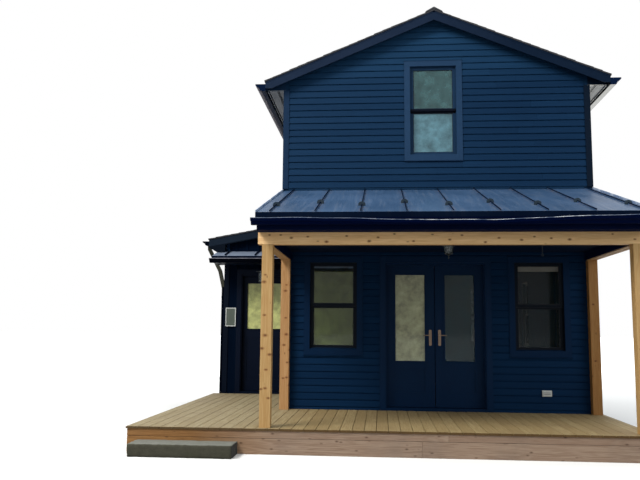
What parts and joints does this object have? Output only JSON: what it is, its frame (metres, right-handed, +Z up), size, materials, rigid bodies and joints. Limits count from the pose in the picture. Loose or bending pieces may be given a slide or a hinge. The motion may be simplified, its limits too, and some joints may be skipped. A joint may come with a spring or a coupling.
{
  "type": "two-storey gabled cabin with porch",
  "caption": "Small dark two-storey gabled cabin with a full-width timber porch, a lean-to, an L-shaped deck and glazed doors that open.",
  "frame": {"origin": "middle of the main block's footprint, at ground level, on the underside of the middle pier", "axes": "+Z up, the porch faces -Y, +X to the right as seen from the front"},
  "size_m": [6.912, 8.852, 6.4364],
  "materials": {
    "concrete": "rough grey concrete",
    "floor_wood": "satin floor boards",
    "siding": "dark blue-black paint on clapboards, satin",
    "trim": "dark blue-black paint on boards, satin",
    "shingles": "black asphalt shingles",
    "soffit": "light grey vented panels",
    "ceiling": "dark paint",
    "gutter": "black, satin",
    "roof_metal": "dark standing-seam sheet, satin",
    "guard_metal": "black",
    "timber": "new softwood with knots",
    "decking": "pale new deck boards",
    "skirt_wood": "pinkish new boards",
    "step_stone": "grey slab",
    "window_black": "black",
    "glass": "clear panes",
    "blind": "pale raised blind",
    "door_paint": "dark blue-black, satin",
    "handle_bronze": "aged bronze",
    "lantern_metal": "dark bronze",
    "lantern_glass": "clear, slightly frosted",
    "plate_metal": "light grey, satin"
  },
  "bodies": {
    "house": {"foundation": "concrete", "floors": "floor_wood", "front_wall_sides": "siding", "front_wall_upper": "siding", "left_wall": "siding", "right_wall": "siding", "back_wall": "siding", "leanto_front_sides": "siding", "leanto_front_over": "siding", "leanto_side_wall": "siding", "leanto_back_wall": "siding", "main_roof": "shingles", "rakes": "trim", "eave_fascias": "trim", "eave_soffits": "soffit", "gutters": "gutter", "leanto_roof": "shingles", "pent_roof": "roof_metal", "porch_roof": "roof_metal", "snow_guards": "guard_metal", "porch_trim": "trim", "porch_ceiling": "ceiling", "porch_beams": "timber", "porch_posts": "timber", "deck_floor": "decking", "deck_skirt": "skirt_wood", "deck_joists": "skirt_wood", "stone_step": "step_stone", "wall_trim": "trim", "window_frames": "window_black", "window_glass": "glass", "window_blinds": "blind", "door_frames": "door_paint", "lanterns": "lantern_metal", "lantern_glass": "lantern_glass", "wall_plates": "plate_metal"},
    "french_left": {"french_door_left": "door_paint", "french_glass_left": "glass", "french_handle_left": "handle_bronze"},
    "french_right": {"french_door_right": "door_paint", "french_glass_right": "glass", "french_handle_right": "handle_bronze"},
    "side_leaf": {"side_door": "door_paint", "side_door_glass": "glass", "side_door_handle": "handle_bronze"}
  },
  "joints": [
    {"name": "french_left_hinge", "type": "hinge", "parent": "house", "child": "french_left", "pos_m": [-0.734, -2.892, 1.4], "axis": [0, 0, 1], "range_deg": [0, 100]},
    {"name": "french_right_hinge", "type": "hinge", "parent": "house", "child": "french_right", "pos_m": [0.698, -2.892, 1.4], "axis": [0, 0, -1], "range_deg": [0, 100]},
    {"name": "side_door_hinge", "type": "hinge", "parent": "house", "child": "side_leaf", "pos_m": [-3.3855, -0.462, 1.4], "axis": [0, 0, 1], "range_deg": [0, 90]}
  ]
}
